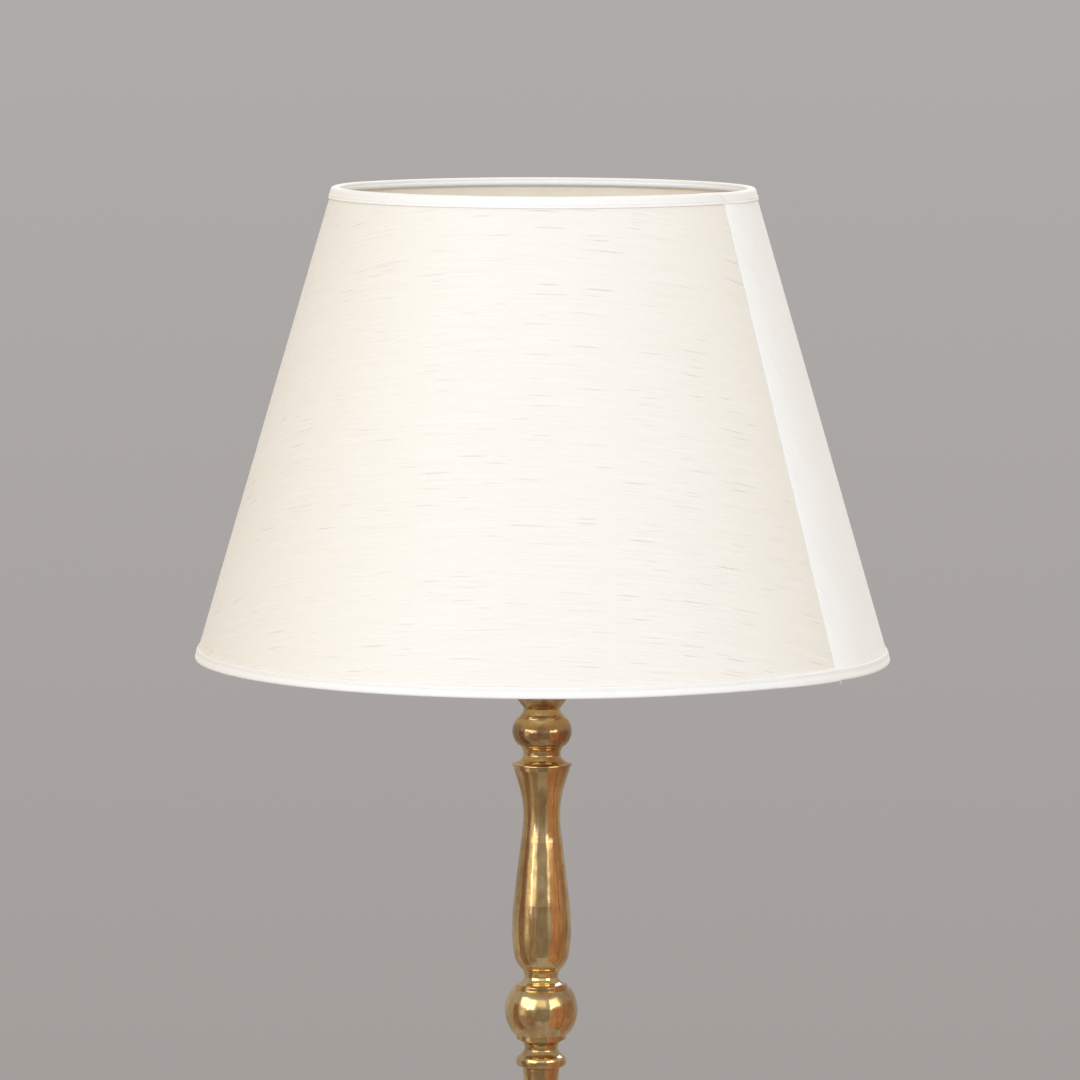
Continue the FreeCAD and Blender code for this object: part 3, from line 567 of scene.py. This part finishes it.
def build_joins():
    """Where each binding's ends meet: a slanting fold on top, an upright one below with a loose thread under it. The
    upper binding's turning, a flat band under its fold, shows inside the rim behind the lamp; its near white is partly
    painted light, for the light that comes through the shade."""
    steep, shallow = SEAM + math.radians(5.7), SEAM - math.radians(9.8)
    upper = tape_end("upper_join", False, lambda share: steep + (shallow - steep) * share, math.radians(11), 0.28)
    place(upper, "shade", "binding")
    lower = tape_end("lower_join", True, lambda share: SEAM + math.radians(0.2), math.radians(-16), 0.85)
    place(lower, "shade", "binding")
    band = [(-4.45, 2.5), (-4.4, 3.6), (-4.35, 4.6), (-4.1, 5.4)]
    tape = swept_round("upper_inner_tape", band + along_profile(band, 0.3)[::-1], False, "inner_tape")
    place(tape, "shade", "binding")
    stub = [hem_point(SEAM + math.radians(angle), True, out, along)
            for angle, out, along in ((0.2, 2.4, 2.5), (0.25, 2.7, 0.6), (0.12, 2.6, -0.9), (-0.1, 2.3, -2.2))]
    thread = tube_along("join_thread", stub, 0.14 * MM, "silk_back")
    place(thread, "shade", "silk_back")


LOOSE_THREADS = 18


def build_seam_threads():
    """The back sheet's folded edge, which stands up a little as a pale roll, and threads that have worked loose."""
    rng = random.Random("seam")
    low, high = 7.6 * MM, SHADE_HEIGHT - 7.6 * MM
    out = LINING_THICK + 2 * GLUE + 1.5 * SILK_THICK
    roll = []
    for i in range(261):
        height = low + (high - low) * i / 260
        wander = rng.uniform(-0.34, 0.34) * MM / (LINING_FOOT - SLOPE * height)
        roll.append(shade_point(SEAM + wander, height, out + rng.uniform(0.0, 0.08) * MM))
    place(tube_along("seam_edge", roll, 0.36 * MM, "silk_back"), "shade", "silk_back")
    for number in range(LOOSE_THREADS):
        height = rng.uniform(low + 0.01, high - 0.01)
        length, lean = rng.uniform(1.6, 6.0) * MM, rng.uniform(-0.9, 0.5)
        line = []
        for i in range(5):
            share = i / 4
            angle = SEAM - length * share * math.cos(lean) / (LINING_FOOT - SLOPE * height)
            line.append(shade_point(angle, height + length * share * math.sin(lean),
                                    out + (0.25 + 0.5 * math.sin(share * 2.4)) * MM))
        thread = tube_along("loose_thread_%d" % number, line, 0.1 * MM, "silk_back", resolution=1)
        place(thread, "shade", "silk_back")


STITCH_LINE = 5.7 * MM                   # from the shade's edge to the row of stitches
STITCH_PITCH = 2.6 * MM
STITCH_HALF = 0.36                       # half a stitch's length, as a share of the pitch
STITCH_THICK = 0.24 * MM
STITCH_SIDES = 6


def build_stitches():
    """A row of small stitches along the rib of each bound edge."""
    points, faces = [], []
    for height in (STITCH_LINE, SHADE_HEIGHT - STITCH_LINE):
        count = int(math.tau * (LINING_FOOT - SLOPE * height) / STITCH_PITCH)
        for i in range(count):
            angle = math.tau * i / count
            half = STITCH_HALF * math.tau / count
            ring = []
            for share in (-1.0, -0.6, 0.0, 0.6, 1.0):
                lift = (1.78 + 0.32 * (1 - share * share)) * MM
                ring.append((shade_point(angle + share * half, height, lift), STITCH_THICK * (1.05 - share * share)))
            base = len(points)
            for centre, radius in ring:
                outward = Vector((centre.x, centre.y, 0)).normalized()
                for step in range(STITCH_SIDES):
                    turn = math.tau * step / STITCH_SIDES
                    points.append(centre + outward * radius * math.cos(turn) + Vector((0, 0, radius * math.sin(turn))))
            for section in range(len(ring) - 1):
                for step in range(STITCH_SIDES):
                    a, b = (base + section * STITCH_SIDES + k for k in (step, (step + 1) % STITCH_SIDES))
                    faces.append((a, b, b + STITCH_SIDES, a + STITCH_SIDES))
            last = base + STITCH_SIDES * (len(ring) - 1)
            faces.append(tuple(base + step for step in range(STITCH_SIDES - 1, -1, -1)))
            faces.append(tuple(last + step for step in range(STITCH_SIDES)))
    stitches = mesh_object("stitches", points, faces, "binding", [(p.x, p.z) for p in points])
    place(stitches, "shade", "binding")


# -------------------------------------------------------------------------------------------------------- the rest

def dress_frame():
    """Every CAD node that stays in view gets the finish of its own slot."""
    slots = {entry["node"]: entry["material_slot"] for entry in frame["record"]["subparts"]}
    for name, node in frame["nodes"].items():
        node.data.materials.clear()
        node.data.materials.append(FINISH[slots[name]])


MIDDLE = Vector((0, 0, 1.25))            # what the lights look at
COLUMN = Vector((0, 0, 1.0))             # what the cards look at
AMBIENT = (1.02, 0.96, 0.85)             # the studio's walls light cloth more warmly than they look
WALL_LOW, WALL_HIGH = (0.372, 0.347, 0.332), (0.434, 0.413, 0.407)
WALL_FADE = (-0.17, -0.01)               # the sine of the view's rise, from the first wall colour to the second
# name, bearing, rise, distance, (width, height), power, colour
LIGHTS = [
    ("key", 0, 15, 4.2, (2.2, 1.6), 80, (0.56, 0.77, 1.16)),
    ("window", -44, 14, 3.0, (0.22, 2.0), 8, (1.0, 0.97, 0.92)),
    ("back", 165, 35, 3.8, (2.4, 1.6), 40, (0.75, 0.85, 1.0)),
]
# name, bearing, rise, distance, (width, height), colour: seen only in the brass
CARDS = [
    ("card_warm", 61, -24, 1.1, (1.1, 1.4), (0.46, 0.25, 0.15)),
    ("card_warm_far", 104, -24, 1.1, (0.75, 1.4), (0.36, 0.23, 0.15)),
    ("card_line", 78, -22, 1.0, (0.04, 1.3), (0.08, 0.05, 0.035)),
    ("card_dark_left", -86, -22, 1.1, (0.5, 1.3), (0.27, 0.17, 0.12)),
    ("card_streak", -60, -3, 2.2, (0.55, 0.9), (0.85, 0.74, 0.52)),
    ("card_dark_far", -112, -22, 1.1, (0.6, 1.3), (0.40, 0.35, 0.28)),
    ("card_low_left", -38, -24, 1.1, (0.52, 1.0), (0.33, 0.25, 0.18)),
    ("card_middle", 3, -15, 1.15, (1.02, 0.8), (0.265, 0.23, 0.19)),
    ("card_pane_left", -46, 21, 2.2, (1.75, 1.2), (2.6, 2.4, 1.95)),
    ("card_pane_middle", -2, 25, 2.4, (1.7, 0.9), (1.0, 0.9, 0.66)),
    ("card_pane_right", 46, 20, 2.2, (1.35, 1.05), (3.0, 2.8, 2.25)),
]


def around(middle, bearing, rise, distance):
    """A place at a bearing from the front (positive to the right) and a rise above the horizontal, in degrees."""
    a, e = math.radians(bearing), math.radians(rise)
    return middle + distance * Vector((math.sin(a) * math.cos(e), -math.cos(a) * math.cos(e), math.sin(e)))


def stand(name, data, middle, bearing, rise, distance, axis):
    """An object at a bearing and rise, with the given axis towards the middle."""
    made = bpy.data.objects.new(name, data)
    bpy.context.scene.collection.objects.link(made)
    made.location = around(middle, bearing, rise, distance)
    made.rotation_euler = (middle - made.location).to_track_quat(axis, "Y").to_euler()
    return made


def build_floor():
    bpy.ops.mesh.primitive_circle_add(vertices=160, radius=3.4, fill_type="NGON", location=(0, 0, -0.2 * MM))
    floor = bpy.context.object
    floor.name = "floor"
    pale = new_material("floor_pale", (0.31, 0.28, 0.25), 0.7)
    g = Graph(pale)
    g.feed(g.shader.inputs["Base Color"],
           g.blend(g.noise(g.object_space(), 3.0, 3.0), (0.32, 0.29, 0.26), (0.29, 0.26, 0.23)))
    floor.data.materials.append(pale)


def build_world():
    """A grey studio, a little darker low down."""
    world = bpy.data.worlds.new("studio")
    bpy.context.scene.world = world
    world.use_nodes = True
    g = Graph(world)
    rise = g.add("SeparateXYZ", {}, {"Vector": g.add("TexCoord").outputs["Generated"]}).outputs["Z"]
    wall = g.blend(g.ramp(rise, *WALL_FADE), WALL_LOW, WALL_HIGH)
    seen = g.blend(g.add("LightPath").outputs["Is Diffuse Ray"], wall, AMBIENT)
    g.feed(g.nodes["Background"].inputs["Color"], seen)


def build_lights():
    for name, bearing, rise, distance, size, power, color in LIGHTS:
        light = bpy.data.lights.new(name, "AREA")
        light.shape = "RECTANGLE"
        light.size, light.size_y = size
        light.energy = power
        light.color = color
        lamp = stand(name, light, MIDDLE, bearing, rise, distance, "-Z")
        lamp.visible_glossy = name != "key"          # the cards stand in for its reflection


def build_cards():
    """Clouded reflectors that only gloss sees: the room that the brass reflects."""
    for name, bearing, rise, distance, size, color in CARDS:
        mesh = bpy.data.meshes.new(name)
        w, h = size[0] / 2, size[1] / 2
        mesh.from_pydata([(-w, -h, 0), (w, -h, 0), (w, h, 0), (-w, h, 0)], [], [(0, 1, 2, 3)])
        glow = bpy.data.materials.new(name)
        glow.use_nodes = True
        glow.node_tree.nodes.clear()
        g = Graph(glow)
        clouded = g.blend(g.noise(g.object_space(), 5.0, 2.0), [c * 0.35 for c in color], [c * 1.65 for c in color])
        emission = g.add("Emission", {}, {"Color": clouded}).outputs[0]
        g.add("OutputMaterial", {}, {"Surface": emission})
        mesh.materials.append(glow)
        card = stand(name, mesh, COLUMN, bearing, rise, distance, "Z")
        card.visible_camera = False
        card.visible_diffuse = False
        card.visible_shadow = False


EYE = Vector((0.0, -4.92, SHADE_HEAD + 0.229))
TARGET = Vector((-0.0018, 0.0, SHADE_HEAD - 0.2546))
ROLL = math.radians(0.15)


def build_camera():
    """The lamp seen from the front, a little above its shade, through a long lens."""
    camera = bpy.data.cameras.new("camera")
    camera.lens = 228.6
    camera.sensor_width = 36.0
    camera.clip_end = 50.0
    holder = bpy.data.objects.new("camera", camera)
    bpy.context.scene.collection.objects.link(holder)
    holder.location = EYE
    aim = (TARGET - EYE).to_track_quat("-Z", "Y")
    holder.rotation_euler = (aim @ Quaternion((0, 0, 1), ROLL)).to_euler()
    bpy.context.scene.camera = holder


bpy.context.scene.view_settings.view_transform = "Standard"
build_camera()
dress_frame()
front_silk, back_silk = build_silk()
build_lining()
build_edges()
build_joins()
build_seam_threads()
build_stitches()
build_floor()
build_world()
build_lights()
build_cards()
